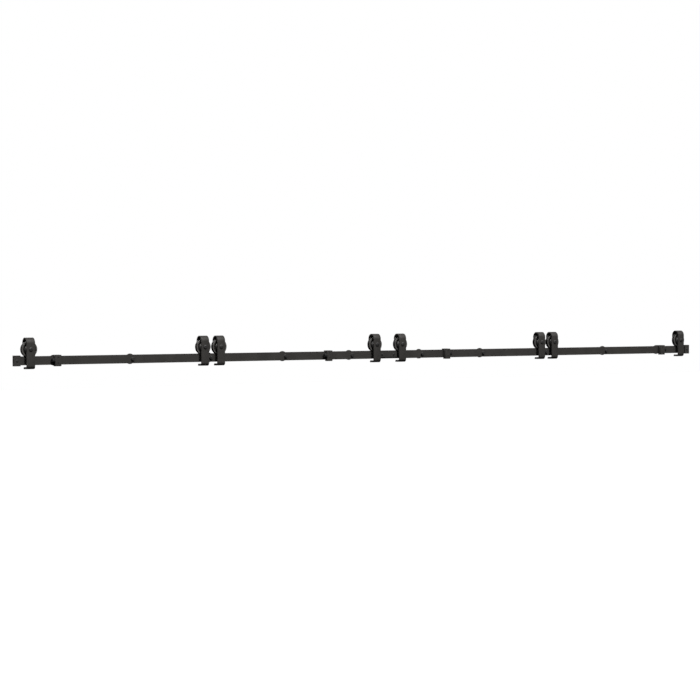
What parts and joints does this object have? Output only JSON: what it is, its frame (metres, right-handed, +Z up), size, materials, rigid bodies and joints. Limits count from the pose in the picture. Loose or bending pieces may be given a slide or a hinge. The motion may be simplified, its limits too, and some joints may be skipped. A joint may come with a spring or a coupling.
{
  "type": "sliding barn door hardware",
  "caption": "Long flat-bar barn door track on wall spacers, with strap roller hangers that ride its top edge, clamp-on door stops with rubber bumpers and end stops.",
  "frame": {"origin": "on the wall plane, at the middle of the track's length, level with the middle of the rail", "axes": "+X along the track, +Y into the wall, +Z up"},
  "size_m": [4, 0.0625, 0.1412],
  "materials": {
    "powder_coat": "matte black powder coat",
    "wheel_steel": "satin black, turned",
    "black_oxide": "black oxide",
    "rubber": "matte moulded rubber"
  },
  "bodies": {
    "track": {"rail_left": "powder_coat", "rail_right": "powder_coat", "splice_plate": "powder_coat", "splice_screw_left": "black_oxide", "splice_screw_right": "black_oxide", "end_stop_left": "powder_coat", "end_stop_right": "powder_coat", "wall_spacer_1": "powder_coat", "wall_spacer_2": "powder_coat", "wall_spacer_3": "powder_coat", "wall_spacer_4": "powder_coat", "wall_spacer_5": "powder_coat", "wall_spacer_6": "powder_coat", "wall_spacer_7": "powder_coat", "wall_spacer_8": "powder_coat", "wall_spacer_9": "powder_coat", "wall_spacer_10": "powder_coat", "lag_bolt_1": "black_oxide", "lag_bolt_2": "black_oxide", "lag_bolt_3": "black_oxide", "lag_bolt_4": "black_oxide", "lag_bolt_5": "black_oxide", "lag_bolt_6": "black_oxide", "lag_bolt_7": "black_oxide", "lag_bolt_8": "black_oxide", "lag_bolt_9": "black_oxide", "lag_bolt_10": "black_oxide", "door_stop_1": "powder_coat", "door_stop_2": "powder_coat", "door_stop_3": "powder_coat", "door_stop_4": "powder_coat", "stop_bumper_1": "rubber", "stop_bumper_2": "rubber", "stop_bumper_3": "rubber", "stop_bumper_4": "rubber"},
    "hanger_1": {"hanger_strap_1": "powder_coat", "axle_bolt_1": "black_oxide"},
    "wheel_1": {"hanger_wheel_1": "wheel_steel"},
    "hanger_2": {"hanger_strap_2": "powder_coat", "axle_bolt_2": "black_oxide"},
    "wheel_2": {"hanger_wheel_2": "wheel_steel"},
    "hanger_3": {"hanger_strap_3": "powder_coat", "axle_bolt_3": "black_oxide"},
    "wheel_3": {"hanger_wheel_3": "wheel_steel"},
    "hanger_4": {"hanger_strap_4": "powder_coat", "axle_bolt_4": "black_oxide"},
    "wheel_4": {"hanger_wheel_4": "wheel_steel"},
    "hanger_5": {"hanger_strap_5": "powder_coat", "axle_bolt_5": "black_oxide"},
    "wheel_5": {"hanger_wheel_5": "wheel_steel"},
    "hanger_6": {"hanger_strap_6": "powder_coat", "axle_bolt_6": "black_oxide"},
    "wheel_6": {"hanger_wheel_6": "wheel_steel"},
    "hanger_7": {"hanger_strap_7": "powder_coat", "axle_bolt_7": "black_oxide"},
    "wheel_7": {"hanger_wheel_7": "wheel_steel"},
    "hanger_8": {"hanger_strap_8": "powder_coat", "axle_bolt_8": "black_oxide"},
    "wheel_8": {"hanger_wheel_8": "wheel_steel"}
  },
  "joints": [
    {"name": "hanger_1_slide", "type": "slide", "parent": "track", "child": "hanger_1", "axis": [1, 0, 0], "range_m": [-0.0155, 0.085]},
    {"name": "hanger_2_slide", "type": "slide", "parent": "track", "child": "hanger_2", "axis": [1, 0, 0], "range_m": [-0.7045, 0.0048]},
    {"name": "hanger_3_slide", "type": "slide", "parent": "track", "child": "hanger_3", "axis": [1, 0, 0], "range_m": [-0.0048, 0.556]},
    {"name": "hanger_4_slide", "type": "slide", "parent": "track", "child": "hanger_4", "axis": [1, 0, 0], "range_m": [-0.2335, 0.038]},
    {"name": "hanger_5_slide", "type": "slide", "parent": "track", "child": "hanger_5", "axis": [1, 0, 0], "range_m": [-0.038, 0.2335]},
    {"name": "hanger_6_slide", "type": "slide", "parent": "track", "child": "hanger_6", "axis": [1, 0, 0], "range_m": [-0.556, 0.0048]},
    {"name": "hanger_7_slide", "type": "slide", "parent": "track", "child": "hanger_7", "axis": [1, 0, 0], "range_m": [-0.0048, 0.7045]},
    {"name": "hanger_8_slide", "type": "slide", "parent": "track", "child": "hanger_8", "axis": [1, 0, 0], "range_m": [-0.085, 0.0155]},
    {"name": "wheel_1_spin", "type": "hinge", "parent": "hanger_1", "child": "wheel_1", "pos_m": [-1.9236, -0.032, 0.0513], "axis": [0, 1, 0], "range_deg": [-30.6, 159.1]},
    {"name": "wheel_2_spin", "type": "hinge", "parent": "hanger_2", "child": "wheel_2", "pos_m": [-1.0426, -0.032, 0.0513], "axis": [0, 1, 0], "range_deg": [-1304.1, 10.9]},
    {"name": "wheel_3_spin", "type": "hinge", "parent": "hanger_3", "child": "wheel_3", "pos_m": [-0.957, -0.032, 0.0513], "axis": [0, 1, 0], "range_deg": [-10.9, 1029.6]},
    {"name": "wheel_4_spin", "type": "hinge", "parent": "hanger_4", "child": "wheel_4", "pos_m": [-0.076, -0.032, 0.0513], "axis": [0, 1, 0], "range_deg": [-433.6, 72.2]},
    {"name": "wheel_5_spin", "type": "hinge", "parent": "hanger_5", "child": "wheel_5", "pos_m": [0.076, -0.032, 0.0513], "axis": [0, 1, 0], "range_deg": [-72.2, 433.6]},
    {"name": "wheel_6_spin", "type": "hinge", "parent": "hanger_6", "child": "wheel_6", "pos_m": [0.957, -0.032, 0.0513], "axis": [0, 1, 0], "range_deg": [-1029.6, 10.9]},
    {"name": "wheel_7_spin", "type": "hinge", "parent": "hanger_7", "child": "wheel_7", "pos_m": [1.0426, -0.032, 0.0513], "axis": [0, 1, 0], "range_deg": [-10.9, 1304.1]},
    {"name": "wheel_8_spin", "type": "hinge", "parent": "hanger_8", "child": "wheel_8", "pos_m": [1.9236, -0.032, 0.0513], "axis": [0, 1, 0], "range_deg": [-159.1, 30.6]}
  ],
  "couplings": [
    {"joint": "wheel_1_spin", "follows": "hanger_1_slide", "rad_per_m": 32.258},
    {"joint": "wheel_2_spin", "follows": "hanger_2_slide", "rad_per_m": 32.258},
    {"joint": "wheel_3_spin", "follows": "hanger_3_slide", "rad_per_m": 32.258},
    {"joint": "wheel_4_spin", "follows": "hanger_4_slide", "rad_per_m": 32.258},
    {"joint": "wheel_5_spin", "follows": "hanger_5_slide", "rad_per_m": 32.258},
    {"joint": "wheel_6_spin", "follows": "hanger_6_slide", "rad_per_m": 32.258},
    {"joint": "wheel_7_spin", "follows": "hanger_7_slide", "rad_per_m": 32.258},
    {"joint": "wheel_8_spin", "follows": "hanger_8_slide", "rad_per_m": 32.258}
  ]
}
